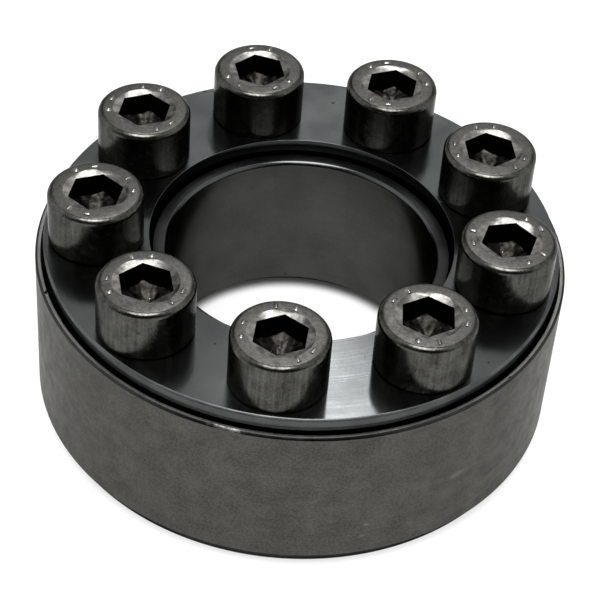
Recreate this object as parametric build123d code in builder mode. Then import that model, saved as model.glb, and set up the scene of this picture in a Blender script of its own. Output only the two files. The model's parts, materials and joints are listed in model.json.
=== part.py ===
from build123d import *
from math import cos, radians, sin, sqrt, tan
import os

# Keyless locking assembly: a slit inner ring and a slit outer ring are spread by two
# double-tapered thrust rings, which nine socket head cap screws draw together.
# Frame: +Z along the bore, screw heads up, origin on the axis in the rear face.

os.makedirs("parts", exist_ok=True)

# ---------------------------------------------------------------- driving dimensions, mm
bore_diameter = 28.0  # shaft seat
outer_diameter = 55.0  # hub seat
clamping_width = 17.0  # width of the slit inner and outer rings
flange_stand_out = 1.5  # how far each thrust ring stands proud of the slit rings, seated
screw_slack = 0.2  # lift of the front thrust ring before the screws are tightened
taper_angle = 10.0  # half angle of the four pairs of cones
inner_land = 1.45  # end face of the inner ring, bore to cone
outer_land = 0.55  # end face of the outer ring, cone to outside
bore_chamfer = 0.3
outer_chamfer = 0.2
slit_width = 2.0  # cut that lets each slit ring spring
wedge_gap = 1.5  # space left between the tips of the two thrust rings
flange_chamfer = 0.2  # outer edges of the thrust rings
flange_bore_chamfer = 0.12

screw_count = 9
first_screw_angle = -90.0  # degrees from +X
thread_diameter = 6.0  # M6
screw_length = 18.0  # under the head
thread_end_chamfer = 0.6
head_diameter = 9.8
head_height = 6.0
head_top_radius = 0.5
head_foot_chamfer = 0.15
socket_width = 5.0  # across the flats of the hexagon
socket_depth = 2.6  # at the corners of the hexagon
socket_floor_angle = 30.0  # slope of the conical floor
socket_mouth_diameter = 6.1  # conical lead-in around the hexagon
socket_mouth_angle = 30.0  # slope of the lead-in
socket_angles = (29, 34, 18, 42, 26, 48, 27, 25, 46)  # a corner of each hexagon, degrees from +X

forcing_core_diameter = 6.8  # core of the M8 threads that push the rings apart
forcing_step = 3  # every third hole of the front ring carries one
tapped_hole_chamfer = 0.4

# ---------------------------------------------------------------- clearances, mm
cone_clearance = 0.06  # square to the cones, before the screws are tightened
outer_groove = 0.3  # flange to outer ring, at the end faces
inner_groove = 0.35  # flange to inner ring, at the end faces
thread_clearance = 0.05  # radial, screw to tapped hole
shank_clearance = 0.3  # radial, screw to plain hole

# ---------------------------------------------------------------- derived places
taper = tan(radians(taper_angle))
cone_step = cone_clearance / cos(radians(taper_angle))
bore_radius = bore_diameter / 2
outer_radius = outer_diameter / 2
ring_bottom = flange_stand_out
ring_top = ring_bottom + clamping_width
middle = ring_bottom + clamping_width / 2
half_width = clamping_width / 2
front_face = ring_top + flange_stand_out + screw_slack

inner_cone_edge = bore_radius + inner_land
inner_cone_crest = inner_cone_edge + half_width * taper
outer_cone_edge = outer_radius - outer_land
outer_cone_waist = outer_cone_edge - half_width * taper

flange_bore_radius = inner_cone_edge + inner_groove
flange_radius = outer_cone_edge - outer_groove
pitch_radius = (flange_bore_radius + flange_radius) / 2

shank_radius = thread_diameter / 2
tapped_radius = shank_radius + thread_clearance
plain_hole_radius = shank_radius + shank_clearance
head_radius = head_diameter / 2
socket_corner_radius = socket_width / sqrt(3)
socket_floor_drop = socket_corner_radius * tan(radians(socket_floor_angle))
mouth_radius = socket_mouth_diameter / 2
mouth_depth = mouth_radius * tan(radians(socket_mouth_angle))


def screw_angle(index):
    """Angle of a screw about the axis, in degrees."""
    return first_screw_angle + index * 360 / screw_count


def screw_centre(index):
    """X and Y of a screw on the pitch circle."""
    angle = radians(screw_angle(index))
    return (pitch_radius * cos(angle), pitch_radius * sin(angle))


def thrust_ring_outline(side, lift):
    """Half section of a thrust ring as (radius, height) points.

    side is 1 on the ring above the middle and -1 on the one below, and lift raises the
    ring from where its cones seat.
    """
    centre = middle + lift
    tip_reach = wedge_gap / 2
    outer_run = (outer_groove - cone_step) / taper
    inner_run = (inner_groove - cone_step) / taper
    tip_drop = (half_width - tip_reach) * taper
    return [
        (flange_bore_radius, centre + side * (half_width + flange_stand_out)),
        (flange_radius, centre + side * (half_width + flange_stand_out)),
        (flange_radius, centre + side * (half_width - outer_run)),
        (outer_cone_edge - cone_step - tip_drop, centre + side * tip_reach),
        (inner_cone_edge + cone_step + tip_drop, centre + side * tip_reach),
        (flange_bore_radius, centre + side * (half_width - inner_run)),
    ]


# ---------------------------------------------------------------- outer ring
with BuildPart() as outer_ring:
    with BuildSketch(Plane.XZ):
        with BuildLine():
            Polyline(
                (outer_radius, ring_bottom),
                (outer_radius, ring_top),
                (outer_cone_edge, ring_top),
                (outer_cone_waist, middle),
                (outer_cone_edge, ring_bottom),
                close=True,
            )
        make_face()
    revolve(axis=Axis.Z)
    outside_edges = outer_ring.edges().filter_by(GeomType.CIRCLE).group_by(SortBy.RADIUS)[-1]
    chamfer(outside_edges, length=outer_chamfer)
    with BuildSketch(Plane.XY.offset(ring_bottom)):
        with Locations((0, (outer_cone_waist + outer_radius) / 2)):
            Rectangle(slit_width, 2 * (outer_radius - outer_cone_waist))
    extrude(amount=clamping_width, mode=Mode.SUBTRACT)
outer_ring.part.label = "outer_ring"
export_step(outer_ring.part, "parts/outer_ring.step")

# ---------------------------------------------------------------- inner ring
with BuildPart() as inner_ring:
    with BuildSketch(Plane.XZ):
        with BuildLine():
            Polyline(
                (bore_radius, ring_bottom),
                (inner_cone_edge, ring_bottom),
                (inner_cone_crest, middle),
                (inner_cone_edge, ring_top),
                (bore_radius, ring_top),
                close=True,
            )
        make_face()
    revolve(axis=Axis.Z)
    bore_edges = inner_ring.edges().filter_by(GeomType.CIRCLE).group_by(SortBy.RADIUS)[0]
    chamfer(bore_edges, length=bore_chamfer)
    with BuildSketch(Plane.XY.offset(ring_bottom)):
        with Locations((0, -(bore_radius + inner_cone_crest) / 2)):
            Rectangle(slit_width, 2 * (inner_cone_crest - bore_radius))
    extrude(amount=clamping_width, mode=Mode.SUBTRACT)
inner_ring.part.label = "inner_ring"
export_step(inner_ring.part, "parts/inner_ring.step")

# ---------------------------------------------------------------- front thrust ring
with BuildPart() as front_thrust_ring:
    with BuildSketch(Plane.XZ):
        with BuildLine():
            Polyline(*thrust_ring_outline(1, screw_slack), close=True)
        make_face()
    revolve(axis=Axis.Z)
    face_edges = front_thrust_ring.faces().sort_by(Axis.Z)[-1].edges().sort_by(SortBy.RADIUS)
    chamfer(face_edges[-1], length=flange_chamfer)
    chamfer(face_edges[0], length=flange_bore_chamfer)
    with BuildSketch(Plane.XY.offset(front_face)):
        for index in range(screw_count):
            carries_forcing_thread = index % forcing_step == 1
            with Locations(screw_centre(index)):
                Circle(forcing_core_diameter / 2 if carries_forcing_thread else plain_hole_radius)
    extrude(amount=-front_face, mode=Mode.SUBTRACT)
front_thrust_ring.part.label = "front_thrust_ring"
export_step(front_thrust_ring.part, "parts/front_thrust_ring.step")

# ---------------------------------------------------------------- rear thrust ring
with BuildPart() as rear_thrust_ring:
    with BuildSketch(Plane.XZ):
        with BuildLine():
            Polyline(*thrust_ring_outline(-1, 0), close=True)
        make_face()
    revolve(axis=Axis.Z)
    face_edges = rear_thrust_ring.faces().sort_by(Axis.Z)[0].edges().sort_by(SortBy.RADIUS)
    chamfer(face_edges[-1], length=flange_chamfer)
    chamfer(face_edges[0], length=flange_bore_chamfer)
    with BuildSketch(Plane.XY):
        with PolarLocations(pitch_radius, screw_count, start_angle=first_screw_angle):
            Circle(tapped_radius)
    extrude(amount=front_face, mode=Mode.SUBTRACT)
    rear_face = rear_thrust_ring.faces().sort_by(Axis.Z)[0]
    hole_rims = rear_face.edges().filter_by(GeomType.CIRCLE).group_by(SortBy.RADIUS)[0]
    chamfer(hole_rims, length=tapped_hole_chamfer)
rear_thrust_ring.part.label = "rear_thrust_ring"
export_step(rear_thrust_ring.part, "parts/rear_thrust_ring.step")

# ---------------------------------------------------------------- socket head cap screws
head_top = front_face + head_height

for index in range(screw_count):
    x, y = screw_centre(index)
    half_section = Plane(origin=(x, y, front_face), x_dir=(1, 0, 0), z_dir=(0, -1, 0))
    turned = radians(socket_angles[index])
    socket_plane = Plane(origin=(x, y, head_top), x_dir=(cos(turned), sin(turned), 0), z_dir=(0, 0, 1))
    screw_axis = Axis((x, y, front_face), (0, 0, 1))
    with BuildPart() as screw:
        with BuildSketch(half_section):
            with BuildLine():
                Polyline(
                    (0, -screw_length),
                    (shank_radius - thread_end_chamfer, -screw_length),
                    (shank_radius, thread_end_chamfer - screw_length),
                    (shank_radius, 0),
                    (head_radius - head_foot_chamfer, 0),
                    (head_radius, head_foot_chamfer),
                    (head_radius, head_height - head_top_radius),
                )
                RadiusArc(
                    (head_radius, head_height - head_top_radius),
                    (head_radius - head_top_radius, head_height),
                    -head_top_radius,
                )
                Polyline((head_radius - head_top_radius, head_height), (0, head_height), (0, -screw_length))
            make_face()
        revolve(axis=screw_axis)
        with BuildSketch(socket_plane):
            RegularPolygon(radius=socket_corner_radius, side_count=6)
        extrude(amount=-(socket_depth + socket_floor_drop), mode=Mode.SUBTRACT)
        with BuildSketch(half_section):
            with BuildLine():
                Polyline(
                    (0, head_height - socket_depth - socket_floor_drop),
                    (socket_corner_radius, head_height - socket_depth),
                    (socket_corner_radius, head_height - socket_depth - socket_floor_drop),
                    close=True,
                )
            make_face()
        revolve(axis=screw_axis)
        with BuildSketch(half_section):
            with BuildLine():
                Polyline((0, head_height), (mouth_radius, head_height), (0, head_height - mouth_depth), close=True)
            make_face()
        revolve(axis=screw_axis, mode=Mode.SUBTRACT)
    name = f"screw_{index + 1}"
    screw.part.label = name
    export_step(screw.part, f"parts/{name}.step")
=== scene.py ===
"""Looks of a keyless locking assembly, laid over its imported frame.

Two slit rings, two double-taper thrust rings and nine socket head cap screws are turned,
drilled and threaded as meshes of their own, each stands for its CAD node, and each gets a
steel finish. Places and main sizes come from the frame; lengths are in metres.
"""

import json
import logging
import math
from collections.abc import Sequence
from dataclasses import dataclass, field, replace
from enum import Enum
from itertools import pairwise

import bpy
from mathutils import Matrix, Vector


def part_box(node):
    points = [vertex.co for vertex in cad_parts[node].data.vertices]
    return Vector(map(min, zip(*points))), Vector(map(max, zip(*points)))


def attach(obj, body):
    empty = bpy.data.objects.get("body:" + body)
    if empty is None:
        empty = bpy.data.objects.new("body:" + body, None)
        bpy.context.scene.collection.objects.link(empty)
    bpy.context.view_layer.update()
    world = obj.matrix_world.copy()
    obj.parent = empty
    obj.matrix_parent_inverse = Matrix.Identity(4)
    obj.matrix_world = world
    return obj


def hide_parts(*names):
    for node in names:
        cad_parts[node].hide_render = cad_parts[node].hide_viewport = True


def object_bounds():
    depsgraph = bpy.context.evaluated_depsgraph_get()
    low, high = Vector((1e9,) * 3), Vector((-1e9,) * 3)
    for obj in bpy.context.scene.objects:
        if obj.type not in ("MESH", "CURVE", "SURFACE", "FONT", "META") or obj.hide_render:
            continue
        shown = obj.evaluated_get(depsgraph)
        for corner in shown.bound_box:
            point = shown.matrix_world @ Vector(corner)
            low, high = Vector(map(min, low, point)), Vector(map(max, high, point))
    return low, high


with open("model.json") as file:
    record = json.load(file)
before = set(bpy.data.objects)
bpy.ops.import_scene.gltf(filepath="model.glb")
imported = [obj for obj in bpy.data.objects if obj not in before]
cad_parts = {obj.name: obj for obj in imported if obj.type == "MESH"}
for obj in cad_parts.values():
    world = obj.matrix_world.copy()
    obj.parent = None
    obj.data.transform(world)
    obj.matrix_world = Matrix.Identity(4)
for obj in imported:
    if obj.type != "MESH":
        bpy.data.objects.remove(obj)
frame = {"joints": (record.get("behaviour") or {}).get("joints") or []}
cad_low, cad_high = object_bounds()

MM = 0.001
MERGE_DISTANCE = 0.001 * MM  # points this close are one point
SMOOTH_ANGLE = math.radians(40)  # edges flatter than this are shaded smooth
BEVEL_ANGLE = math.radians(25)  # edges flatter than this are left unrounded
DRILL_STEPS = 48  # flats round a drilled hole or a shank
SINK_STEPS = 56  # flats round a countersink
HEAD_STEPS = 96  # flats round a screw head
PUNCH_STEPS = 72  # flats round the punch's rough tip
BAR_STEPS = 20  # flats round a forged bar
CORNER_ON_X = math.radians(30)  # turns Blender's own hexagon until a corner lies on +X
FULL_TURN = 2 * math.pi

log = logging.getLogger("locking_assembly")

Outline = Sequence[tuple[float, float]]
Colour = tuple[float, float, float]
Piece = bpy.types.Object
Socket = bpy.types.NodeSocket


# ---------------------------------------------------------------- workshop tools
def pick(piece: Piece) -> None:
    """Leave edit mode and make one piece the only selected and active object.

    Args:
        piece: the object to work on next.
    """
    if bpy.context.mode != "OBJECT":
        bpy.ops.object.mode_set(mode="OBJECT")
    bpy.ops.object.select_all(action="DESELECT")
    piece.select_set(True)
    bpy.context.view_layer.objects.active = piece


def open_mesh(piece: Piece) -> None:
    """Enter edit mode on a piece with all of its mesh selected.

    Args:
        piece: the object whose mesh is to be edited.
    """
    pick(piece)
    bpy.ops.object.mode_set(mode="EDIT")
    bpy.ops.mesh.select_all(action="SELECT")


def close_mesh(piece: Piece) -> None:
    """Leave edit mode and put the piece's origin at the world's.

    Args:
        piece: the object being edited.
    """
    pick(piece)
    bpy.ops.object.transform_apply(location=True, rotation=True, scale=True)


def turn(name: str, outline: Outline, steps: int, closed: bool = True) -> Piece:
    """Turn an outline once about the vertical axis.

    Args:
        name: the new object's name.
        outline: (radius, height) points of the half section.
        steps: number of flats round the axis.
        closed: whether the last point joins the first, as in a ring; a solid with its
            two ends on the axis leaves it open.

    Returns:
        The turned solid.
    """
    points = [*outline, outline[0]] if closed else list(outline)
    bpy.ops.object.select_all(action="DESELECT")
    bpy.ops.mesh.primitive_plane_add(size=MM, location=(points[0][0], 0, points[0][1]))
    solid = bpy.context.object
    solid.name = name
    solid.data.name = name
    open_mesh(solid)
    bpy.ops.mesh.merge(type="CENTER")
    for (radius, height), (next_radius, next_height) in pairwise(points):
        step = (next_radius - radius, 0, next_height - height)
        bpy.ops.mesh.extrude_vertices_move(TRANSFORM_OT_translate={"value": step})
    bpy.ops.mesh.select_all(action="SELECT")
    bpy.ops.mesh.remove_doubles(threshold=MERGE_DISTANCE)
    bpy.ops.mesh.spin(steps=steps, angle=FULL_TURN, center=(0, 0, 0), axis=(0, 0, 1))
    bpy.ops.mesh.select_all(action="SELECT")
    bpy.ops.mesh.remove_doubles(threshold=MERGE_DISTANCE)
    bpy.ops.mesh.normals_make_consistent(inside=False)
    close_mesh(solid)
    return solid


def apply_modifier(piece: Piece, kind: str, **settings: object) -> None:
    """Add a modifier to a piece and apply it at once.

    Args:
        piece: the object to change.
        kind: the modifier's type, such as BEVEL.
        **settings: values for the modifier's own properties.
    """
    pick(piece)
    bpy.ops.object.modifier_add(type=kind)
    modifier = piece.modifiers[-1]
    for setting, value in settings.items():
        setattr(modifier, setting, value)
    bpy.ops.object.modifier_apply(modifier=modifier.name)


def break_edges(piece: Piece, width: float) -> None:
    """Round every sharp edge of a piece a little.

    Args:
        piece: the object to change.
        width: how far the rounding reaches from the edge.
    """
    apply_modifier(
        piece, "BEVEL", width=width, segments=3, limit_method="ANGLE", angle_limit=BEVEL_ANGLE
    )


def clean(piece: Piece) -> None:
    """Clear the slivers that cutting leaves, so that the mesh stays closed.

    Args:
        piece: the object to clean.
    """
    open_mesh(piece)
    bpy.ops.mesh.remove_doubles(threshold=MERGE_DISTANCE)
    bpy.ops.mesh.dissolve_degenerate(threshold=0.5 * MERGE_DISTANCE)
    close_mesh(piece)


def combine(piece: Piece, tool: Piece, operation: str) -> None:
    """Cut, join or keep what two solids share, and use the second one up.

    Args:
        piece: the object that is changed.
        tool: the other solid, which is deleted.
        operation: DIFFERENCE, UNION or INTERSECT.
    """
    apply_modifier(
        piece, "BOOLEAN", object=tool, operation=operation, solver="EXACT", material_mode="TRANSFER"
    )
    bpy.data.meshes.remove(tool.data)
    clean(piece)


def paint(piece: Piece, material: bpy.types.Material) -> None:
    """Give the whole of a piece one material.

    Args:
        piece: the object to paint.
        material: its only material from now on.
    """
    piece.data.materials.clear()
    piece.data.materials.append(material)
    for face in piece.data.polygons:
        face.material_index = 0


def outline_sharply(piece: Piece, material: bpy.types.Material) -> None:
    """Keep a crisp edge around every area that has one material.

    Args:
        piece: the object to mark, before it is shaded smooth.
        material: the material of those areas.
    """
    open_mesh(piece)
    bpy.ops.mesh.select_all(action="DESELECT")
    piece.active_material_index = piece.data.materials.find(material.name)
    bpy.ops.object.material_slot_select()
    bpy.ops.mesh.region_to_loop()
    bpy.ops.mesh.mark_sharp()
    close_mesh(piece)


def join(pieces: Sequence[Piece]) -> Piece:
    """Join several separate solids into one object.

    Args:
        pieces: the objects, of which the first takes in the others.

    Returns:
        The first object.
    """
    pick(pieces[0])
    for piece in pieces:
        piece.select_set(True)
    bpy.ops.object.join()
    return pieces[0]


def place(piece: Piece, angle: float, shift: Vector) -> None:
    """Turn a piece about the vertical axis through the origin and then move it.

    Args:
        piece: the object, whose new place goes into its mesh.
        angle: turn, in radians, counter-clockwise from above.
        shift: the move.
    """
    piece.rotation_euler.z = angle
    piece.location = shift
    close_mesh(piece)


def copy_of(piece: Piece, name: str) -> Piece:
    """Copy a piece together with its mesh.

    Args:
        piece: the object to copy.
        name: the copy's name.

    Returns:
        The copy.
    """
    pick(piece)
    bpy.ops.object.duplicate(linked=False)
    copy = bpy.context.object
    copy.name = name
    copy.data.name = name
    return copy


def smooth(piece: Piece) -> None:
    """Shade a piece smooth up to its sharp edges, with its flats kept flat.

    Args:
        piece: the object to shade.
    """
    pick(piece)
    bpy.ops.object.shade_smooth_by_angle(angle=SMOOTH_ANGLE)
    apply_modifier(piece, "WEIGHTED_NORMAL", mode="FACE_AREA", weight=100, keep_sharp=True)


def block(name: str, low: Vector, high: Vector) -> Piece:
    """Make a plain block, which serves as a cutter.

    Args:
        name: the object's name.
        low: its lowest corner.
        high: its highest corner.

    Returns:
        The block.
    """
    bpy.ops.object.select_all(action="DESELECT")
    bpy.ops.mesh.primitive_cube_add(size=1, location=(low + high) / 2, scale=high - low)
    cutter = bpy.context.object
    cutter.name = name
    close_mesh(cutter)
    return cutter


@dataclass(frozen=True)
class Thread:
    """A right-hand screw thread about the vertical axis.

    Attributes:
        root: radius at the bottom of the groove.
        crest: radius at the top of the ridge.
        pitch: rise in one turn.
        steps: number of flats round the axis.
    """

    root: float
    crest: float
    pitch: float
    steps: int = 36

    def wind(self, name: str, low: float, high: float) -> Piece:
        """Wind a closed threaded rod that reaches a turn past both given heights.

        Args:
            name: the object's name.
            low: lowest height that the full thread covers.
            high: highest height that the full thread covers.

        Returns:
            The rod, whose ragged ends are meant to be trimmed.
        """
        bottom = (math.floor(low / self.pitch) - 1) * self.pitch
        turns = math.ceil((high - bottom) / self.pitch) + 1
        root_flat, crest_flat, flank = 1 / 4, 1 / 8, 5 / 16
        outline = [
            (self.root, 0.0),
            (self.root, root_flat),
            (self.crest, root_flat + flank),
            (self.crest, root_flat + flank + crest_flat),
            (self.root, 1.0),
        ]
        bpy.ops.object.select_all(action="DESELECT")
        bpy.ops.mesh.primitive_plane_add(size=MM, location=(self.root, 0, bottom))
        rod = bpy.context.object
        rod.name = name
        open_mesh(rod)
        bpy.ops.mesh.merge(type="CENTER")
        for (radius, rise), (next_radius, next_rise) in pairwise(outline):
            step = (next_radius - radius, 0, (next_rise - rise) * self.pitch)
            bpy.ops.mesh.extrude_vertices_move(TRANSFORM_OT_translate={"value": step})
        close_mesh(rod)
        apply_modifier(
            rod, "SCREW", axis="Z", angle=FULL_TURN, screw_offset=self.pitch, iterations=turns,
            steps=self.steps, render_steps=self.steps, use_normal_calculate=True,
        )
        open_mesh(rod)
        bpy.ops.mesh.remove_doubles(threshold=MERGE_DISTANCE)
        bpy.ops.mesh.fill_holes(sides=0)
        bpy.ops.mesh.select_all(action="SELECT")
        bpy.ops.mesh.normals_make_consistent(inside=False)
        close_mesh(rod)
        return rod


# ---------------------------------------------------------------- finishes
class Lay(Enum):
    """Which way the marks of the last tool run."""

    ROUND = "round the outside, as from a cylindrical grinder"
    FACED = "in circles on an end face, as from a lathe"
    DRAWN = "up and down, as on a drawn or forged side"
    PRESSED = "no way in particular, as from a forging die"


MARKS_PER_METRE: dict[Lay, tuple[float, float]] = {  # along the marks and across them
    Lay.ROUND: (120.0, 5200.0),
    Lay.FACED: (90.0, 5200.0),
    Lay.DRAWN: (170.0, 3600.0),
    Lay.PRESSED: (2100.0, 2100.0),
}
# the values between which a noise goes from none to full
BLOTCH_SPAN = (0.3, 0.7)
MARK_SPAN = (0.32, 0.68)
GRAIN_SPAN = (0.35, 0.65)
SMEAR_SPAN = (0.4, 0.9)
SPECK_SPAN = (0.06, 0.14)
THINNING_SPAN = (0.6, 0.7)


@dataclass(frozen=True)
class Patch:
    """A stain, scuff or bright spot with soft edges.

    Attributes:
        centre: its middle, in the part's frame.
        reach: how far it extends along its own three axes.
        tilt: turn of those axes about X, Y and Z, in radians.
        colour: what the steel becomes there.
        strength: share of that colour at the middle.
        solid: share of its reach that has its full strength.
        fray: how far its border wanders in and out, as a share of its reach.
        fray_scale: how fine that is, as noise cells to the metre.
    """

    centre: Vector
    reach: Vector
    tilt: Vector
    colour: Colour
    strength: float
    solid: float = 0.2
    fray: float = 0.3
    fray_scale: float = 1400.0


class Nodes:
    """A node tree, filled one node at a time."""

    def __init__(self, tree: bpy.types.NodeTree) -> None:
        """Start on a tree."""
        self.tree = tree

    def add(self, kind: str, inputs: dict[str | int, object], **settings: object) -> bpy.types.Node:
        """Add a node, set its options and fill or link its sockets.

        Args:
            kind: the node's type without its ShaderNode prefix.
            inputs: socket name or number to a value, or to the socket it is fed from.
            **settings: the node's own properties.

        Returns:
            The node.
        """
        node = self.tree.nodes.new(f"ShaderNode{kind}")
        for setting, value in settings.items():
            setattr(node, setting, value)
        for socket, value in inputs.items():
            if isinstance(value, Socket):
                self.tree.links.new(value, node.inputs[socket])
            else:
                node.inputs[socket].default_value = value
        return node

    def noise(self, vector: Socket, scale: float, detail: float = 3) -> Socket:
        """Add smooth noise, and return its value, which is about a half on average."""
        return self.add("TexNoise", {"Vector": vector, "Scale": scale, "Detail": detail}).outputs["Fac"]

    def stretch(self, vector: Socket, scale: Sequence[float]) -> Socket:
        """Scale a vector differently along each axis and return it."""
        return self.add("Mapping", {"Vector": vector, "Scale": scale}).outputs["Vector"]

    def ramp(self, value: Socket, source: Sequence[float], target: Sequence[float]) -> Socket:
        """Carry a value smoothly from one range into another, and hold it within that.

        Args:
            value: the socket to read.
            source: the range that is read.
            target: the range that it becomes.

        Returns:
            The socket of the result.
        """
        inputs = {"Value": value, 1: source[0], 2: source[1], 3: target[0], 4: target[1]}
        return self.add("MapRange", inputs, interpolation_type="SMOOTHSTEP").outputs["Result"]

    def math(self, operation: str, first: object, second: object) -> Socket:
        """Combine two values with one arithmetic operation and return the result."""
        return self.add("Math", {0: first, 1: second}, operation=operation).outputs[0]

    def mix(self, share: object, first: object, second: object) -> Socket:
        """Mix two colours by a share of the second and return the result."""
        inputs = {0: share, 6: first, 7: second}
        return self.add("Mix", inputs, data_type="RGBA").outputs[2]

    def length(self, vector: Socket) -> Socket:
        """Return how long a vector is."""
        return self.add("VectorMath", {0: vector}, operation="LENGTH").outputs["Value"]

    def off_axis(self, vector: Socket) -> Socket:
        """Return a vector with its height taken out."""
        return self.add("VectorMath", {0: vector, 1: (1, 1, 0)}, operation="MULTIPLY").outputs["Vector"]


class Recipe(Nodes):
    """A material's nodes around its shader."""

    def __init__(self, name: str) -> None:
        """Start a material that holds only its shader.

        Args:
            name: the material's name.
        """
        self.material = bpy.data.materials.new(name)
        self.material.use_nodes = True
        super().__init__(self.material.node_tree)
        self.shader = self.tree.nodes["Principled BSDF"]

    def feed(self, value: Socket, name: str) -> None:
        """Link a value to one of the shader's inputs."""
        self.tree.links.new(value, self.shader.inputs[name])

    def fix(self, name: str, value: object) -> None:
        """Set one of the shader's inputs to a constant."""
        self.shader.inputs[name].default_value = value


@dataclass(frozen=True)
class Steel:
    """A bare steel surface.

    Attributes:
        name: what the finish is called.
        pale: colour of its cleaner areas.
        dull: colour of its greyer areas.
        roughness: how widely it scatters light, on average.
        roughness_spread: how much that changes over the surface.
        lay: which way the tool marks run.
        mark_share: how strongly the tool marks show in the colour.
        mark_depth: how far they stand up in the light.
        mark_roughness: how strongly they change the roughness.
        blotch: size of the greyer areas.
        smears: how many smears of the roughness go to one such area.
        grain_share: how strongly a fine even grain shows in the colour.
        grain_scale: how fine that grain is, as noise cells to the metre.
        speck_share: how strongly small specks show, from 0 to 1.
        speck_size: spacing of the specks.
        speck_clusters: how many patches with or without specks go to one spacing.
        speck_tone: their colour.
        rim: how bright it gets where it is seen at a glancing angle, from 0 to 1.
        draw_out: how far circular tool marks draw highlights out towards the axis, from 0 to 1.
        patches: single stains and scuffs.
    """

    name: str
    pale: Colour
    dull: Colour
    roughness: float
    roughness_spread: float
    lay: Lay
    mark_share: float = 0.15
    mark_depth: float = 0.004 * MM
    mark_roughness: float = 0.3
    blotch: float = 6 * MM
    smears: float = 2.3
    grain_share: float = 0.0
    grain_scale: float = 4300.0
    speck_share: float = 0.0
    speck_size: float = 1.8 * MM
    speck_clusters: float = 0.75
    speck_tone: Colour = (0.015, 0.015, 0.014)
    rim: float = 0.55
    draw_out: float = 0.0
    patches: tuple[Patch, ...] = ()

    def material(self, axis: Vector) -> bpy.types.Material:
        """Write the finish for a piece that was turned about a vertical axis.

        Args:
            axis: a point on that axis.

        Returns:
            The material.
        """
        recipe = Recipe(self.name)
        coordinates = recipe.add("TexCoord", {}).outputs["Object"]
        shift = (-axis.x, -axis.y, 0)
        centred = recipe.add("Mapping", {"Vector": coordinates, "Location": shift}).outputs["Vector"]
        marks = self.tool_marks(recipe, centred)
        blotches = recipe.ramp(recipe.noise(coordinates, 1 / self.blotch, 6), BLOTCH_SPAN, (0, 1))
        scored = recipe.math("MULTIPLY", recipe.ramp(marks, MARK_SPAN, (0, 1)), self.mark_share)
        clouded = recipe.math("MULTIPLY", blotches, 1 - self.mark_share - self.grain_share)
        dullness = recipe.math("ADD", scored, clouded)
        if self.grain_share:
            grain = recipe.ramp(recipe.noise(coordinates, self.grain_scale, 2), GRAIN_SPAN, (0, 1))
            dullness = recipe.math("ADD", dullness, recipe.math("MULTIPLY", grain, self.grain_share))
        colour = recipe.mix(dullness, (*self.pale, 1), (*self.dull, 1))
        if self.speck_share:
            colour = self.specks(recipe, coordinates, colour)
        for patch in self.patches:
            colour = self.stained(recipe, coordinates, colour, patch)
        recipe.feed(colour, "Base Color")
        low, high = self.roughness - self.roughness_spread, self.roughness + self.roughness_spread
        smears = recipe.noise(coordinates, self.smears / self.blotch, 6)
        uneven = recipe.math("ADD", smears, recipe.math("MULTIPLY", marks, self.mark_roughness))
        recipe.feed(recipe.ramp(uneven, SMEAR_SPAN, (low, high)), "Roughness")
        bump = recipe.add("Bump", {"Height": marks, "Strength": 1.0, "Distance": self.mark_depth})
        recipe.feed(bump.outputs["Normal"], "Normal")
        recipe.fix("Metallic", 1.0)
        recipe.fix("Specular Tint", (self.rim, self.rim, self.rim, 1))
        if self.draw_out:
            inputs = {0: recipe.off_axis(centred)}
            outward = recipe.add("VectorMath", inputs, operation="NORMALIZE").outputs["Vector"]
            recipe.feed(outward, "Tangent")
            recipe.fix("Anisotropic", self.draw_out)
        return recipe.material

    def tool_marks(self, recipe: Recipe, centred: Socket) -> Socket:
        """Add the pattern that the last tool left.

        Args:
            recipe: the material being written.
            centred: place relative to the axis of turning.

        Returns:
            The socket of a value from 0 to 1.
        """
        along, across = MARKS_PER_METRE[self.lay]
        if self.lay is Lay.ROUND:
            vector = recipe.stretch(centred, (along, along, across))
        elif self.lay is Lay.DRAWN:
            vector = recipe.stretch(centred, (across, across, along))
        elif self.lay is Lay.FACED:
            radius = recipe.length(recipe.off_axis(centred))
            ring = recipe.add("CombineXYZ", {"X": recipe.math("MULTIPLY", radius, across)}).outputs["Vector"]
            level = recipe.stretch(centred, (along, along, along))
            vector = recipe.add("VectorMath", {0: level, 1: ring}, operation="ADD").outputs["Vector"]
        else:
            vector = recipe.stretch(centred, (along, along, along))
        return recipe.noise(vector, 1.0, 4)

    def specks(self, recipe: Recipe, place_of: Socket, colour: Socket) -> Socket:
        """Add small specks, thinned out by a wider noise.

        Args:
            recipe: the material being written.
            place_of: place on the part.
            colour: the colour so far.

        Returns:
            The socket of the colour with specks.
        """
        inputs = {"Vector": place_of, "Scale": 1 / self.speck_size}
        cells = recipe.add("TexVoronoi", inputs).outputs["Distance"]
        clusters = recipe.noise(place_of, self.speck_clusters / self.speck_size, 0)
        thinning = recipe.ramp(clusters, THINNING_SPAN, (0, 1))
        dots = recipe.math("MULTIPLY", recipe.ramp(cells, SPECK_SPAN, (1, 0)), thinning)
        share = recipe.math("MULTIPLY", dots, self.speck_share)
        return recipe.mix(share, colour, (*self.speck_tone, 1))

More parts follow.
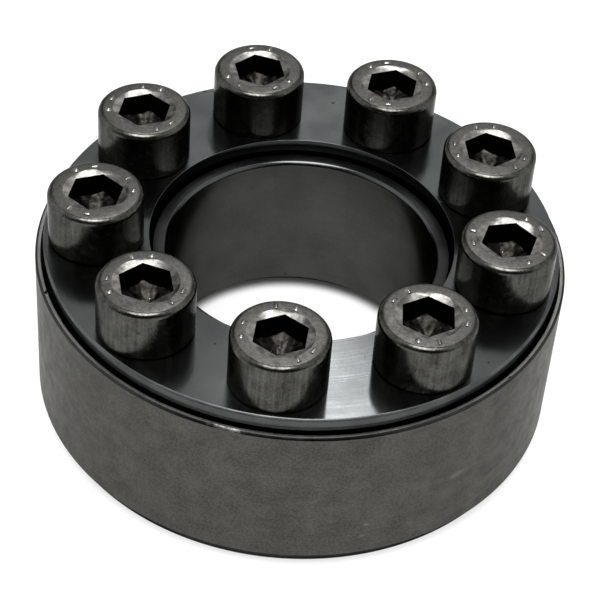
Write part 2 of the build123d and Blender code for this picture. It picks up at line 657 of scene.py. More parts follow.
    @staticmethod
    def stained(recipe: Recipe, place_of: Socket, colour: Socket, patch: Patch) -> Socket:
        """Lay one patch over a colour.

        Args:
            recipe: the material being written.
            place_of: place on the part.
            colour: the colour so far.
            patch: the stain or scuff.

        Returns:
            The socket of the stained colour.
        """
        inputs = {"Vector": place_of, "Location": patch.centre, "Rotation": patch.tilt, "Scale": patch.reach}
        local = recipe.add("Mapping", inputs, vector_type="TEXTURE").outputs["Vector"]
        distance = recipe.length(local)
        frays = recipe.noise(place_of, patch.fray_scale)
        fraying = recipe.ramp(frays, BLOTCH_SPAN, (-patch.fray, patch.fray))
        share = recipe.ramp(recipe.math("ADD", distance, fraying), (patch.solid, 1.0), (patch.strength, 0))
        return recipe.mix(share, colour, (*patch.colour, 1))


def on_ring(radius: float, degrees: float, height: float) -> Vector:
    """Point at a radius, an angle from +X and a height."""
    angle = math.radians(degrees)
    return Vector((radius * math.cos(angle), radius * math.sin(angle), height))


def streak(
    radius: float, span: tuple[float, float], height: float, width: float, colour: Colour, strength: float
) -> Patch:
    """A mark that runs level along the outside of a round surface.

    Args:
        radius: of the surface.
        span: angles from +X at which the mark starts and ends, in degrees.
        height: of its middle.
        width: half of its height.
        colour: what the steel becomes there.
        strength: share of that colour at the middle.

    Returns:
        The mark.
    """
    middle = (span[0] + span[1]) / 2
    half = radius * math.radians(span[1] - span[0]) / 2
    inward = 0.5 * MM
    reach = Vector((half, inward, width))
    tilt = Vector((0, 0, math.radians(middle + 90)))
    return Patch(on_ring(radius, middle, height), reach, tilt, colour, strength)


# ---------------------------------------------------------------- rings
@dataclass
class Ring:
    """What the four rings share: one taper, a turned blank, cutters and a finish.

    Attributes:
        node: the CAD node that the ring stands for.
        body: the body that it rides on.
        slot: the record's material slot; not used.
        finish: steel of its round sides.
        end_finish_and_painted_light: steel of its end faces; paler on the outer ring and darker on the inner
            ring than the sides, as painted light and painted shade.
        edge_finish_and_painted_light: steel of its chamfers; darker on the outer ring and paler on the thrust
            rings, as painted shade and painted highlight.
        taper: half angle of its cones.
        edge_break: rounding of its edges.
        steps: number of flats round the axis.
        low: lowest corner of the CAD node.
        high: highest corner of the CAD node.
    """

    node: str
    body: str
    slot: str
    finish: Steel
    end_finish_and_painted_light: Steel
    edge_finish_and_painted_light: Steel
    taper: float = math.radians(10)
    edge_break: float = 0.05 * MM
    steps: int = 240
    low: Vector = field(init=False)
    high: Vector = field(init=False)

    def __post_init__(self) -> None:
        """Read the ring's box from the frame."""
        self.low, self.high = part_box(self.node)

    def outline(self) -> Outline:
        """Half section of the ring as (radius, height) points."""
        raise NotImplementedError

    def cutters(self) -> list[Piece]:
        """Solids that are cut out of the turned blank."""
        return []

    def build(self) -> Piece:
        """Turn the blank, round its edges and cut it.

        Returns:
            The finished mesh.
        """
        ring = turn(f"{self.node}_steel", self.outline(), self.steps)
        break_edges(ring, self.edge_break)
        for cutter in self.cutters():
            combine(ring, cutter, "DIFFERENCE")
        apply_modifier(ring, "TRIANGULATE", ngon_method="BEAUTY", min_vertices=5)
        smooth(ring)
        return ring

    def dress(self, ring: Piece) -> None:
        """Give the ring its steel and put it in its node's place.

        Args:
            ring: the mesh that build made.
        """
        axis = Vector((0, 0, 0))
        ring.data.materials.clear()
        # End faces and chamfers get their own steel, which on some rings is a paler or darker copy: painted
        # light and shade.
        for finish in (self.finish, self.edge_finish_and_painted_light, self.end_finish_and_painted_light):
            ring.data.materials.append(finish.material(axis))
        round_limit = math.sin(self.taper) + 0.1
        flat_limit = 0.95
        for face in ring.data.polygons:
            upright = abs(face.normal.z)
            face.material_index = 2 if upright > flat_limit else 1 if upright > round_limit else 0
        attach(ring, self.body)
        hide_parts(self.node)


@dataclass
class OuterRing(Ring):
    """The slit ring that grips the hub.

    Attributes:
        land: width of its end faces.
        chamfer: on the outside edges.
        slit: width of the cut through its back.
        nicks: radius, angle in degrees and size of each small nick in the upper edge.
    """

    edge_break: float = 0.012 * MM
    land: float = 0.55 * MM
    chamfer: float = 0.24 * MM
    slit: float = 2.0 * MM
    nicks: tuple[tuple[float, float, float], ...] = (
        (26.97 * MM, -155.0, 0.3 * MM),
        (27.35 * MM, -34.9, 0.24 * MM),
    )

    def outline(self) -> Outline:
        """Half section with its thinnest place halfway up.

        Returns:
            Its (radius, height) points.
        """
        radius = self.high.x
        edge = radius - self.land
        middle = (self.low.z + self.high.z) / 2
        waist = edge - (self.high.z - middle) * math.tan(self.taper)
        return [
            (radius, self.low.z + self.chamfer),
            (radius, self.high.z - self.chamfer),
            (radius - self.chamfer, self.high.z),
            (edge, self.high.z),
            (waist, middle),
            (edge, self.low.z),
            (radius - self.chamfer, self.low.z),
        ]

    def cutters(self) -> list[Piece]:
        """The slit, at the back, and the nicks.

        Returns:
            One cutter for each.
        """
        low = Vector((-self.slit / 2, self.high.y / 2, self.low.z - MM))
        high = Vector((self.slit / 2, self.high.y + MM, self.high.z + MM))
        cutters = [block("outer_slit", low, high)]
        for radius, degrees, size in self.nicks:
            bpy.ops.object.select_all(action="DESELECT")
            bpy.ops.mesh.primitive_ico_sphere_add(subdivisions=2, radius=size)
            cutters.append(bpy.context.object)
            place(cutters[-1], math.radians(degrees), on_ring(radius, degrees, self.high.z))
        return cutters


@dataclass
class InnerRing(Ring):
    """The slit ring that grips the shaft.

    Attributes:
        land: width of its end faces.
        bore_radius: radius of the shaft's seat.
        chamfer: on the edges of the bore.
        slit: width of the cut through its front.
    """

    edge_break: float = 0.09 * MM
    land: float = 1.45 * MM
    bore_radius: float = 14 * MM
    chamfer: float = 0.3 * MM
    slit: float = 2.0 * MM

    def outline(self) -> Outline:
        """Half section with its thickest place halfway up.

        Returns:
            Its (radius, height) points.
        """
        edge = self.bore_radius + self.land
        middle = (self.low.z + self.high.z) / 2
        crest = edge + (self.high.z - middle) * math.tan(self.taper)
        return [
            (self.bore_radius, self.low.z + self.chamfer),
            (self.bore_radius + self.chamfer, self.low.z),
            (edge, self.low.z),
            (crest, middle),
            (edge, self.high.z),
            (self.bore_radius + self.chamfer, self.high.z),
            (self.bore_radius, self.high.z - self.chamfer),
        ]

    def cutters(self) -> list[Piece]:
        """The slit, at the front.

        Returns:
            Its cutter.
        """
        low = Vector((-self.slit / 2, self.low.y - MM, self.low.z - MM))
        high = Vector((self.slit / 2, -self.bore_radius / 2, self.high.z + MM))
        return [block("inner_slit", low, high)]


@dataclass
class ThrustRing(Ring):
    """A double-tapered ring that the screws pull on.

    Attributes:
        side: 1 where its outer face looks up and -1 where it looks down.
        seats: places of the screws.
        stand_out: how far its flange reaches past the slit rings.
        bore_radius: radius of its flange's bore.
        outer_run: length of the flange's outside before its cone starts, past stand_out.
        inner_run: the same for the flange's bore.
        chamfer: on the flange's outside edge.
    """

    side: int = 1
    seats: Sequence[Vector] = ()
    stand_out: float = 1.5 * MM
    bore_radius: float = 15.8 * MM
    outer_run: float = 1.356 * MM
    inner_run: float = 1.639 * MM
    chamfer: float = 0.2 * MM

    def outline(self) -> Outline:
        """Half section, widest at the flange and tapered on both sides.

        Returns:
            Its (radius, height) points.
        """
        face, tip = (self.high.z, self.low.z) if self.side > 0 else (self.low.z, self.high.z)
        outer_root = face - self.side * (self.stand_out + self.outer_run)
        inner_root = face - self.side * (self.stand_out + self.inner_run)
        outer_tip = self.high.x - abs(outer_root - tip) * math.tan(self.taper)
        inner_tip = self.bore_radius + abs(inner_root - tip) * math.tan(self.taper)
        return [
            (self.bore_radius, face),
            (self.high.x - self.chamfer, face),
            (self.high.x, face - self.side * self.chamfer),
            (self.high.x, outer_root),
            (outer_tip, tip),
            (inner_tip, tip),
            (self.bore_radius, inner_root),
        ]


@dataclass
class FrontThrustRing(ThrustRing):
    """The upper thrust ring, with plain holes and three forcing threads.

    Attributes:
        hole_radius: of the plain holes.
        forcing_thread: the thread that pushes the rings apart again.
        forcing_step: every such hole carries a forcing thread.
    """

    hole_radius: float = 3.3 * MM
    forcing_thread: Thread = Thread(root=3.4 * MM, crest=4.0 * MM, pitch=1.25 * MM, steps=40)
    forcing_step: int = 3

    def cutters(self) -> list[Piece]:
        """One plain or threaded rod for each screw.

        Returns:
            All the rods, as one cutter.
        """
        below, above = self.low.z - MM, self.high.z + MM
        plain = [(0, below), (self.hole_radius, below), (self.hole_radius, above), (0, above)]
        rods = []
        for index, seat in enumerate(self.seats):
            if index % self.forcing_step == 1:
                rod = self.forcing_thread.wind(f"forcing_tap_{index}", below, above)
            else:
                rod = turn(f"drill_{index}", plain, DRILL_STEPS, closed=False)
            place(rod, 0, Vector((seat.x, seat.y, 0)))
            rods.append(rod)
        return [join(rods)]


@dataclass
class RearThrustRing(ThrustRing):
    """The lower thrust ring, with a tapped hole for each screw.

    Attributes:
        thread: the thread of its holes.
        countersink: reach of the holes' chamfered mouths.
        turns: how far each screw is turned, in radians, which its thread follows.
    """

    thread: Thread = Thread(root=2.47 * MM, crest=3.05 * MM, pitch=1.0 * MM)
    countersink: float = 0.4 * MM
    turns: Sequence[float] = ()

    def cutters(self) -> list[Piece]:
        """A tap for each screw, with a cone at the mouth.

        Returns:
            All the taps as one cutter and all the cones as another.
        """
        below, above = self.low.z - MM, self.high.z + MM
        mouth = self.thread.crest + self.countersink
        cone = [(0, below), (mouth + MM, below), (0, below + mouth + MM)]
        taps, cones = [], []
        for index, seat in enumerate(self.seats):
            tap = self.thread.wind(f"tap_{index}", below - seat.z, above - seat.z)
            place(tap, self.turns[index], seat)
            taps.append(tap)
            sink = turn(f"countersink_{index}", cone, SINK_STEPS, closed=False)
            place(sink, 0, Vector((seat.x, seat.y, 0)))
            cones.append(sink)
        return [join(taps), join(cones)]


# ---------------------------------------------------------------- screws
class Mark(Enum):
    """A small raised mark from the forging die."""

    DOT = "round"
    TICK = "short bar across the rim"
    DASH = "short bar along the rim"


@dataclass
class CapScrew:
    """A socket head cap screw, modelled once with its seat at the origin.

    Attributes:
        head_radius: outside of the head.
        head_height: seat to the top of the forged marks.
        length: seat to the tip of the thread.
        thread: its thread.
        across_flats: key size.
        socket_depth: at the corners of the hexagon.
        floor_slope: of the socket's conical floor.
        mouth_radius: of the lead-in around the socket.
        mouth_depth: of the lead-in, which narrows from a circle to the hexagon.
        top_round: radius of the head's top edge.
        foot: chamfer of the head's seat.
        fillet: radius of the slope from the neck to the seat.
        neck_end: how far the plain neck reaches below the seat.
        run_out: how far the thread starts below the seat, inside the neck.
        tip_taper: length of the pointed end.
        blank_excess: how far the blank stands out past the thread's crest.
        fold_size: size of the folds in the socket's floor.
        fold_height: how far they rise and sink together.
        mark_height: how far the forged marks stand up from the head.
        mark_radius: from the head's middle to theirs.
        dot_radius: of the ball whose top is a dot.
        bar_radius: of the bars that tick and dash are.
        bar_length: of the same bars.
        bar_rounding: of their ends.
        marks: angle on the rim and kind of each forged mark.
    """

    head_radius: float
    head_height: float
    length: float
    thread: Thread = Thread(root=2.39 * MM, crest=2.97 * MM, pitch=1.0 * MM)
    across_flats: float = 5.0 * MM
    socket_depth: float = 2.6 * MM
    floor_slope: float = math.radians(30)
    mouth_radius: float = 3.32 * MM
    mouth_depth: float = 0.18 * MM
    top_round: float = 0.68 * MM
    foot: float = 0.18 * MM
    fillet: float = 0.25 * MM
    neck_end: float = 2 * MM
    run_out: float = 1.4 * MM
    tip_taper: float = 0.6 * MM
    blank_excess: float = 0.1 * MM
    fold_size: float = 0.55 * MM
    fold_height: float = 0.28 * MM
    mark_height: float = 0.15 * MM
    mark_radius: float = 3.78 * MM
    dot_radius: float = 0.46 * MM
    bar_radius: float = 0.26 * MM
    bar_length: float = 0.85 * MM
    bar_rounding: float = 0.16 * MM
    marks: tuple[tuple[float, Mark], ...] = (
        (-15, Mark.DOT),
        (15, Mark.TICK),
        (77, Mark.DASH),
        (107, Mark.DOT),
        (212, Mark.TICK),
        (242, Mark.DASH),
    )

    def build(
        self,
        metal: bpy.types.Material,
        top: bpy.types.Material,
        worn_with_painted_highlight: bpy.types.Material,
        socket_wall_shade: bpy.types.Material,
        floor: bpy.types.Material,
    ) -> Piece:
        """Make the whole screw.

        Args:
            metal: finish of the outside.
            top: finish of the flat that the die left on the head.
            worn_with_painted_highlight: finish of the lead-in, which keys rub, and of the forged marks; its
                paler colour is partly wear and partly a painted highlight.
            socket_wall_shade: near-black colour of the socket's walls, a painted shade in the recess.
            floor: the socket's floor, painted dark for the shade in the recess and flecked with painted
                glints.

        Returns:
            The screw, with its seat at the origin.
        """
        screw = turn("master_screw", self.head_outline(), HEAD_STEPS, closed=False)
        paint(screw, metal)
        for degrees, kind in self.marks:
            mark = self.forged_mark(degrees, kind)
            paint(mark, worn_with_painted_highlight)
            combine(screw, mark, "UNION")
        lead_in = self.lead_in()
        paint(lead_in, worn_with_painted_highlight)
        combine(screw, lead_in, "DIFFERENCE")
        punch = self.punch()
        paint(punch, socket_wall_shade)
        combine(screw, punch, "DIFFERENCE")
        combine(screw, self.threaded_shank(), "UNION")
        outline_sharply(screw, worn_with_painted_highlight)
        smooth(screw)
        screw.data.materials.append(top)
        screw.data.materials.append(floor)
        floor_slot = len(screw.data.materials) - 1
        top_slot = floor_slot - 1
        flat = self.head_height - self.mark_height
        level_limit, floor_limit, near = 0.99, 0.3, 0.2 * self.mark_height
        for face in screw.data.polygons:
            in_socket = screw.data.materials[face.material_index] == socket_wall_shade
            if face.normal.z > level_limit and abs(face.center.z - flat) < near:
                face.material_index = top_slot
            elif in_socket and face.normal.z > floor_limit:
                face.material_index = floor_slot
        return screw

    def head_outline(self) -> Outline:
        """Half section of the head with its neck.

        Returns:
            Its (radius, height) points, from the axis to the axis.
        """
        flat = self.head_height - self.mark_height
        neck = self.thread.root + self.fillet
        shoulder, rise = self.head_radius - self.top_round, flat - self.top_round
        rounding = [
            (shoulder + self.top_round * math.cos(angle), rise + self.top_round * math.sin(angle))
            for angle in (math.radians(degrees) for degrees in range(0, 91, 15))
        ]
        return [
            (0, -self.neck_end),
            (neck, -self.neck_end),
            (neck, -self.fillet),
            (neck + self.fillet, 0),
            (self.head_radius - self.foot, 0),
            (self.head_radius, self.foot),
            *rounding,
            (0, flat),
        ]

    def lead_in(self) -> Piece:
        """The shallow mouth of the socket, a circle above that narrows to the hexagon below.

        Returns:
            Its cutter.
        """
        flat = self.head_height - self.mark_height
        parts = []
        for corners, radius, low in (
            (HEAD_STEPS, self.mouth_radius, flat),
            (6, self.across_flats / math.sqrt(3), flat - self.mouth_depth),
        ):
            bpy.ops.object.select_all(action="DESELECT")
            depth = flat + MM - low
            bpy.ops.mesh.primitive_cylinder_add(
                vertices=corners, radius=radius, depth=depth, location=(0, 0, low + depth / 2)
            )
            parts.append(bpy.context.object)
            place(parts[-1], CORNER_ON_X, Vector((0, 0, low + depth / 2)))
        mouth = join(parts)
        open_mesh(mouth)
        bpy.ops.mesh.convex_hull()
        bpy.ops.mesh.normals_make_consistent(inside=False)
        close_mesh(mouth)
        return mouth

    def punch(self) -> Piece:
        """The hexagonal punch with a rough conical tip that forms the socket.

        Returns:
            Its cutter.
        """
        corner = self.across_flats / math.sqrt(3)
        reach = corner + 0.5 * MM  # wider than the hexagon that trims it
        floor = self.head_height - self.socket_depth
        tip = floor - corner * math.tan(self.floor_slope)
        top = self.head_height + MM
        rings = 14
        radii = [reach * number / rings for number in range(rings + 1)]
        cone = [(radius, tip + radius * math.tan(self.floor_slope)) for radius in radii]
        punch = turn("punch", [*cone, (reach, top), (0, top)], PUNCH_STEPS, closed=False)
        folds = bpy.data.textures.new("forged_folds", "CLOUDS")
        folds.noise_scale = self.fold_size
        folds.noise_depth = 2
        apply_modifier(
            punch, "DISPLACE", texture=folds, texture_coords="LOCAL", direction="Z",
            strength=self.fold_height, mid_level=0.5,
        )
        bpy.ops.object.select_all(action="DESELECT")
        bpy.ops.mesh.primitive_cylinder_add(vertices=6, radius=corner, depth=4 * self.head_height)
        hexagon = bpy.context.object
        place(hexagon, CORNER_ON_X, Vector((0, 0, 0)))
        combine(punch, hexagon, "INTERSECT")
        return punch

    def forged_mark(self, degrees: float, kind: Mark) -> Piece:
        """One raised mark on the rim of the head.

        Args:
            degrees: its angle.
            kind: its form.

        Returns:
            The mark, sunk a little into the head.
        """
        bpy.ops.object.select_all(action="DESELECT")
        if kind is Mark.DOT:
            dome = self.dot_radius
            bpy.ops.mesh.primitive_uv_sphere_add(segments=24, ring_count=16, radius=dome)
        else:
            dome = self.bar_radius
            lying = (math.radians(90), 0, math.radians(90) if kind is Mark.TICK else 0)
            bpy.ops.mesh.primitive_cylinder_add(
                vertices=BAR_STEPS, radius=dome, depth=self.bar_length, rotation=lying
            )
        mark = bpy.context.object
        close_mesh(mark)
        if kind is not Mark.DOT:
            break_edges(mark, self.bar_rounding)
        place(mark, math.radians(degrees), on_ring(self.mark_radius, degrees, self.head_height - dome))
        return mark

    def threaded_shank(self) -> Piece:
        """The shank: a wound thread trimmed by a blank with pointed ends.

        Returns:
            The shank, which starts inside the neck.
        """
        crest = self.thread.crest + self.blank_excess
        root = self.thread.root
        blank = [
            (0, -self.length),
            (root, -self.length),
            (crest, self.tip_taper - self.length),
            (crest, -self.neck_end),
            (root, -self.run_out),
            (0, -self.run_out),
        ]
        shank = self.thread.wind("shank", -self.length, -self.run_out)
        combine(shank, turn("shank_blank", blank, DRILL_STEPS, closed=False), "INTERSECT")
        return shank


# ---------------------------------------------------------------- studio
def heading(azimuth: float, elevation: float) -> Vector:
    """Unit vector in a direction.

    Args:
        azimuth: turn round the part, in degrees; 0 is behind the part, at +Y.
        elevation: height above the horizon, in degrees.

    Returns:
        The vector.
    """
    turned, raised = math.radians(azimuth), math.radians(elevation)
    level = math.cos(raised)
    return Vector((math.sin(turned) * level, math.cos(turned) * level, math.sin(raised)))


@dataclass(frozen=True)
class Glow:
    """A soft bright area of the light tent.

    Attributes:
        azimuth: its direction round the part, as for heading.
        elevation: its height above the horizon, as for heading.
        core: half angle that is fully bright, in degrees.
        edge: half angle at which it ends, in degrees.
        strength: its brightness.
    """

    azimuth: float
    elevation: float
    core: float
    edge: float
    strength: float


@dataclass(frozen=True)
class StripLamp:
    """A narrow lamp behind, which the front of the flange mirrors.

    Attributes:
        azimuth: its direction from the place that it lights, as for heading.
        elevation: the same.
        distance: from that place.
        across: how far that place is to the right of the axis.
        forward: how far it is in front of the axis.
        below_top: how far it is below the top of the part.
        width: its level side.
        length: its other side.
        radiance: its brightness.
    """

    azimuth: float = -1.5
    elevation: float = 47.4
    distance: float = 0.8
    across: float = 7.5 * MM
    forward: float = 21 * MM
    below_top: float = 6 * MM
    width: float = 0.042
    length: float = 0.09
    radiance: float = 21.0

    def hang(self) -> None:
        """Hang the lamp in its place."""
        target = Vector((self.across, -self.forward, cad_high.z - self.below_top))
        direction = heading(self.azimuth, self.elevation)
        bpy.ops.object.light_add(type="AREA", location=target + direction * self.distance)
        lamp = bpy.context.object
        lamp.name = "strip_lamp"
        lamp.rotation_euler = direction.to_track_quat("Z", "Y").to_euler()
        lamp.data.shape = "RECTANGLE"
        lamp.data.size = self.width
        lamp.data.size_y = self.length
        lamp.data.energy = self.radiance * math.pi * lamp.data.size * lamp.data.size_y


@dataclass(frozen=True)
class Studio:
    """A pale floor inside a light tent, with a strip lamp behind.

    Attributes:
        floor_half: half the side of the floor.
        floor_gap: how far the floor lies below the part's foot.
        floor_grey: how pale the floor is without its glow.
        floor_lift: glow that whitens the floor where nothing stands on it.
        bore_shade_fade: radii over which the glow under the bore fades away, a painted shadow on the floor
            there.
        shadow_fade: radii at the part's foot over which the glow comes back for the camera, after a painted
            shadow.
        mirror_shadow_fade: the same painted shadow for what the part's own steel mirrors.
        bore_shade_rest: share of the glow that is left under the part, in its painted shadow.
        bore_mirrored_shade: share of the bore's glow that the bore's steel mirrors, a painted darkening of
            its reflections.
        ambient: brightness of the tent between its glows.
        horizon: brightness near the horizon.
        horizon_band: sines of the heights between which the horizon fades to the ambient.
        opening: share of both that is left towards the camera, where the tent is open.
        opening_band: how far forward the tent's opening and its wall start.
        glows: the tent's bright areas.
        strip: the lamp behind.
    """

    floor_half: float = 3.0
    floor_gap: float = 0.02 * MM
    floor_grey: float = 0.31
    floor_lift: float = 0.66
    bore_shade_fade: tuple[float, float] = (13.7 * MM, 15.6 * MM)
    shadow_fade: tuple[float, float] = (25.9 * MM, 26.6 * MM)
    mirror_shadow_fade: tuple[float, float] = (27.3 * MM, 28.8 * MM)
    bore_shade_rest: float = 0.07
    bore_mirrored_shade: float = 0.35
    ambient: float = 0.16
    horizon: float = 1.0
    horizon_band: tuple[float, float] = (0.16, 0.34)
    opening: float = 0.2
    opening_band: tuple[float, float] = (-0.75, -0.1)
    glows: tuple[Glow, ...] = (
        Glow(azimuth=180, elevation=72, core=11, edge=22, strength=12.5),
        Glow(azimuth=0, elevation=66, core=5, edge=14, strength=6.5),
        Glow(azimuth=7, elevation=44, core=5, edge=34, strength=1.0),
        Glow(azimuth=-90, elevation=42, core=10, edge=45, strength=0.95),
        Glow(azimuth=90, elevation=42, core=10, edge=45, strength=0.8),
    )
    strip: StripLamp = StripLamp()

    def build(self) -> None:
        """Make the floor, the tent and the lamp."""
        self.lay_floor()
        self.raise_tent()
        self.strip.hang()

    def lay_floor(self) -> None:
        """Lay a pale floor that keeps the part's shadow and glows only where it is open; near the part's foot
        and under its bore the glow fades, a painted shadow.
        """
        bpy.ops.object.select_all(action="DESELECT")
        height = cad_low.z - self.floor_gap
        bpy.ops.mesh.primitive_plane_add(size=2 * self.floor_half, location=(0, 0, height))
        floor = bpy.context.object
        floor.name = "floor"
        recipe = Recipe("pale_floor")
        recipe.fix("Base Color", (self.floor_grey, self.floor_grey, self.floor_grey, 1))
        recipe.fix("Roughness", 1.0)
        recipe.fix("Specular IOR Level", 0.0)
        recipe.fix("Emission Color", (1, 1, 1, 1))
        paths = recipe.add("LightPath", {}).outputs
        camera = paths["Is Camera Ray"]
        mirrored = recipe.math("MAXIMUM", paths["Is Glossy Ray"], paths["Is Transmission Ray"])
        radius = recipe.length(recipe.add("TexCoord", {}).outputs["Object"])
        # Fading the glow near the foot and under the bore paints a shadow on the floor, for the camera and
        # for what the steel mirrors.
        in_bore = recipe.math("MAXIMUM", camera, recipe.math("MULTIPLY", mirrored, self.bore_mirrored_shade))
        bore = recipe.math("MULTIPLY", recipe.ramp(radius, self.bore_shade_fade, (1, self.bore_shade_rest)), in_bore)
        outside = recipe.math("MULTIPLY", recipe.ramp(radius, self.shadow_fade, (0, 1)), camera)
        round_foot = recipe.math("MULTIPLY", recipe.ramp(radius, self.mirror_shadow_fade, (0, 1)), mirrored)
        lit = recipe.math("ADD", bore, recipe.math("MAXIMUM", outside, round_foot))
        recipe.feed(recipe.math("MULTIPLY", lit, self.floor_lift), "Emission Strength")
        floor.data.materials.append(recipe.material)

    def raise_tent(self) -> None:
        """Paint the world as a tent with soft bright areas."""
        world = bpy.data.worlds.new("light_tent")
        bpy.context.scene.world = world
        world.use_nodes = True
        tent = Nodes(world.node_tree)
        background = tent.tree.nodes["Background"]
        background.inputs["Color"].default_value = (1, 1, 1, 1)
        outward = tent.add("TexCoord", {}).outputs["Generated"]
        split = tent.add("SeparateXYZ", {0: outward}).outputs
        band = tent.ramp(split["Z"], self.horizon_band, (self.horizon, self.ambient))
        open_side = tent.ramp(split["Y"], self.opening_band, (self.opening, 1.0))
        wall = tent.math("MULTIPLY", band, open_side)
        bright: Socket | None = None
        for glow in self.glows:
            inputs = {0: outward, 1: heading(glow.azimuth, glow.elevation)}
            nearness = tent.add("VectorMath", inputs, operation="DOT_PRODUCT").outputs["Value"]
            fall = (math.cos(math.radians(glow.edge)), math.cos(math.radians(glow.core)))
            lit = tent.ramp(nearness, fall, (0, glow.strength))
            bright = lit if bright is None else tent.math("ADD", bright, lit)
        tent.tree.links.new(tent.math("ADD", bright, wall), background.inputs["Strength"])


@dataclass(frozen=True)
class Viewpoint:
    """The camera.

    Attributes:
        azimuth: turn round the part from the front, in radians.
        elevation: height above the horizon, in radians.
        roll: turn about its own line of sight, in radians.
        distance: from the point that it looks at.
        aim: that point, from the middle of the part's foot.
        lens: focal length, in millimetres.
        sensor: width of the sensor, in millimetres.
        nearest: what is closer than this isn't seen.
        farthest: nor is what is farther than this.
    """

    azimuth: float = math.radians(3.38)
    elevation: float = math.radians(42.47)
    roll: float = math.radians(4.54)
    distance: float = 216.84 * MM
    aim: Vector = Vector((0.30, -0.18, 11.26)) * MM
    lens: float = 122.33
    sensor: float = 36.0
    nearest: float = 10 * MM
    farthest: float = 20.0

    def build(self) -> None:
        """Set the camera up as the scene's own."""
        level = math.cos(self.elevation)
        towards = Vector(
            (math.sin(self.azimuth) * level, -math.cos(self.azimuth) * level, math.sin(self.elevation))
        )
        foot = Vector((0, 0, cad_low.z))
        bpy.ops.object.camera_add(location=foot + self.aim + towards * self.distance)
        camera = bpy.context.object
        camera.name = "camera"
        camera.rotation_euler = towards.to_track_quat("Z", "Y").to_euler()
        camera.rotation_euler.rotate_axis("Z", self.roll)
        camera.data.sensor_width = self.sensor
        camera.data.lens = self.lens
        camera.data.clip_start = self.nearest
        camera.data.clip_end = self.farthest
        bpy.context.scene.camera = camera


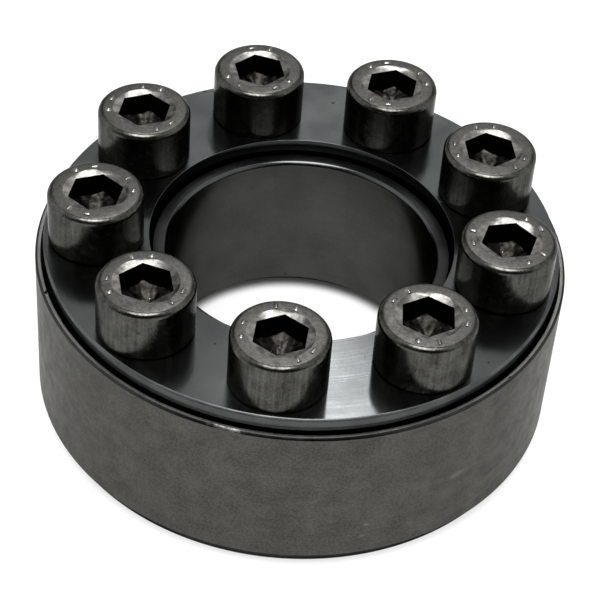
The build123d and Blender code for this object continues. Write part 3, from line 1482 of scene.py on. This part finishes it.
# ---------------------------------------------------------------- the assembly
@dataclass
class LockingAssembly:
    """All thirteen pieces in their places.

    Attributes:
        head_turns: turn of each screw, in degrees, in node order; a corner of its socket lies there.
    """

    head_turns: tuple[float, ...] = (89, 274, 318, 102, 26, 228, 87, 25, 106)

    def seats(self) -> list[Vector]:
        """Where each screw head sits, from the joints of the frame.

        Returns:
            The middle of each seat, in node order.
        """
        joints = {joint["name"]: joint for joint in frame["joints"]}
        names = [f"screw_{number}_turn" for number in range(1, len(self.head_turns) + 1)]
        return [Vector(joints[name]["pos_m"]) for name in names]

    def turns(self) -> list[float]:
        """Turn of each screw, in radians."""
        return [math.radians(degrees) for degrees in self.head_turns]

    def rings(self) -> list[Ring]:
        """The four rings with their finishes.

        Returns:
            The rings, not yet built.
        """
        cad_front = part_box("front_thrust_ring")[1].z
        ground = Steel(
            "ground_ring_steel", (0.103, 0.101, 0.091), (0.050, 0.049, 0.044), 0.42, 0.07, Lay.ROUND,
            mark_share=0.1, blotch=3 * MM, grain_share=0.48, speck_share=0.4, rim=0.7,
            patches=self.ring_patches(),
        )
        bored = Steel(
            "bored_steel", (0.102, 0.103, 0.097), (0.067, 0.068, 0.065), 0.20, 0.04, Lay.ROUND, blotch=5 * MM,
            grain_share=0.25, rim=0.3, patches=(self.speck(14 * MM, 100, 2.2 * MM, 0.16 * MM),),
        )
        # Darker than the bore's steel: the inner ring's end faces carry painted shade.
        land = Steel(
            "end_land_painted_shade_steel", (0.032, 0.033, 0.032), (0.017, 0.018, 0.017), 0.42, 0.06, Lay.FACED,
            blotch=2 * MM, grain_share=0.3, speck_share=0.5,
        )
        turned = Steel(
            "turned_steel", (0.088, 0.091, 0.091), (0.058, 0.061, 0.062), 0.15, 0.04, Lay.ROUND,
            blotch=3 * MM, grain_share=0.25, rim=0.45,
        )
        faced = Steel(
            "faced_steel", (0.090, 0.094, 0.094), (0.058, 0.061, 0.062), 0.17, 0.03, Lay.FACED,
            blotch=8 * MM, grain_share=0.2, speck_share=0.8, draw_out=0.75,
            patches=(
                self.speck(25.45 * MM, -38, cad_front, 0.22 * MM),
                self.speck(18.8 * MM, -110.5, cad_front, 0.13 * MM),
            ),
        )
        # A pale streak along the outer ring's top edge: a painted highlight.
        edge_painted_highlight = streak(27.4 * MM, (-103.4, -94.2), 18.4 * MM, 0.2 * MM, (0.6, 0.6, 0.58), 1.0)
        # Darker than the turned steel: the outer ring's chamfers carry painted shade.
        shaded_ring_edge = replace(
            turned, name="ring_edge_painted_shade_steel", roughness=0.2, pale=(0.045, 0.046, 0.046),
            dull=(0.028, 0.029, 0.029), patches=(edge_painted_highlight,),
        )
        # Paler than the ring's side: the outer ring's end faces carry painted light.
        lit_ring_land = replace(
            ground, name="ring_land_painted_light_steel", roughness=0.5, pale=(0.21, 0.21, 0.2), dull=(0.13, 0.13, 0.125),
            patches=(edge_painted_highlight,),
        )
        # Paler than the turned steel: the thrust rings' chamfers carry a painted highlight.
        lit_flange_edge = replace(turned, name="flange_edge_painted_light_steel", roughness=0.36, pale=(0.13, 0.134, 0.134))
        seats = self.seats()
        return [
            OuterRing("outer_ring", "base_rings", "ring_steel", ground, lit_ring_land, shaded_ring_edge),
            InnerRing("inner_ring", "base_rings", "inner_steel", bored, land, turned),
            RearThrustRing(
                "rear_thrust_ring", "base_rings", "thrust_steel", turned, faced, lit_flange_edge,
                side=-1, seats=seats, turns=self.turns(),
            ),
            FrontThrustRing(
                "front_thrust_ring", "front_ring", "thrust_steel", turned, faced, lit_flange_edge,
                side=1, seats=seats,
            ),
        ]

    @staticmethod
    def speck(radius: float, degrees: float, height: float, size: float) -> Patch:
        """A single dark speck.

        Args:
            radius: its distance from the axis.
            degrees: its angle from +X.
            height: its height.
            size: how far it reaches.

        Returns:
            The speck.
        """
        dark: Colour = (0.012, 0.012, 0.012)
        reach, level = Vector((size, size, size)), Vector((0, 0, 0))
        return Patch(on_ring(radius, degrees, height), reach, level, dark, 0.95)

    @staticmethod
    def ring_patches() -> tuple[Patch, ...]:
        """Scuffs and stains on the outside of the outer ring.

        Returns:
            The patches.
        """
        pale: Colour = (0.17, 0.168, 0.155)
        radius = 27.5 * MM
        return (
            streak(radius, (-53.0, -42.0), 9.0 * MM, 0.6 * MM, pale, 0.5),
            streak(radius, (-61.4, -59.4), 15.3 * MM, 0.14 * MM, pale, 0.3),
            streak(radius, (-69.4, -67.6), 5.7 * MM, 0.22 * MM, pale, 0.7),
            streak(radius, (-69.0, -67.0), 4.9 * MM, 0.2 * MM, pale, 0.6),
            streak(radius, (-70.2, -68.0), 4.1 * MM, 0.24 * MM, pale, 0.65),
            streak(radius, (-77.4, -74.6), 6.9 * MM, 0.5 * MM, pale, 0.28),
            streak(radius, (-60.0, -57.6), 4.4 * MM, 0.26 * MM, pale, 0.3),
        )

    def build_screws(self) -> None:
        """Model one screw, copy it to every seat and dress the copies."""
        low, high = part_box("screw_1")
        seats = self.seats()
        shiny = Steel(
            "screw_steel", (0.106, 0.106, 0.096), (0.024, 0.023, 0.020), 0.23, 0.06, Lay.DRAWN,
            mark_share=0.34, mark_depth=0.009 * MM, blotch=1.5 * MM, grain_share=0.26, speck_share=0.7,
        )
        forged = Steel(
            "forged_top_steel", (0.105, 0.104, 0.097), (0.045, 0.044, 0.041), 0.36, 0.07, Lay.PRESSED,
            mark_share=0.3, mark_depth=0.008 * MM, blotch=1.5 * MM, grain_share=0.45, speck_share=0.7,
            speck_size=1.1 * MM,
        )
        # Paler than the head: wear from keys and a painted highlight, on the lead-in and the forged marks.
        rubbed_with_painted_highlight = Steel(
            "lead_in_painted_highlight_steel", (0.27, 0.265, 0.25), (0.085, 0.083, 0.077), 0.17, 0.05, Lay.PRESSED,
            blotch=0.8 * MM,
        )
        # Near black: painted shade on the socket's walls, deep in the recess.
        painted_socket_shade = Steel(
            "socket_wall_painted_shade_steel", (0.010, 0.009, 0.008), (0.004, 0.004, 0.003), 0.5, 0.1, Lay.PRESSED,
            blotch=0.9 * MM,
        )
        # Dark with pale specks: painted shade in the recess and painted glints on the folds.
        socket_floor_shade_and_glints = Steel(
            "socket_floor_painted_shade_glint_steel", (0.0165, 0.0155, 0.0135), (0.0012, 0.0011, 0.001), 0.25, 0.1, Lay.PRESSED,
            mark_share=0.35, mark_depth=0.02 * MM, blotch=0.55 * MM, speck_share=0.8, speck_size=0.5 * MM,
            speck_tone=(0.20, 0.19, 0.175),
        )
        origin = Vector((0, 0, 0))
        model = CapScrew((high.x - low.x) / 2, high.z - seats[0].z, seats[0].z - low.z)
        steels = [finish.material(origin) for finish in (shiny, forged, rubbed_with_painted_highlight, painted_socket_shade, socket_floor_shade_and_glints)]
        master = model.build(*steels)
        for number, (seat, angle) in enumerate(zip(seats, self.turns()), start=1):
            screw = copy_of(master, f"screw_{number}_steel")
            place(screw, angle, seat)
            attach(screw, f"screw_{number}_body")
            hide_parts(f"screw_{number}")
            log.info("%s: %d faces", screw.name, len(screw.data.polygons))
        bpy.data.meshes.remove(master.data)

    def build(self) -> None:
        """Build and dress every piece."""
        for ring in self.rings():
            made = ring.build()
            ring.dress(made)
            log.info("%s: %d faces", made.name, len(made.data.polygons))
        self.build_screws()


def main() -> None:
    """Build the assembly, the studio and the camera."""
    logging.basicConfig(level=logging.INFO, format="%(name)s: %(message)s")
    bpy.context.scene.view_settings.view_transform = "Standard"
    LockingAssembly().build()
    Studio().build()
    Viewpoint().build()


if __name__ == "__main__":
    main()
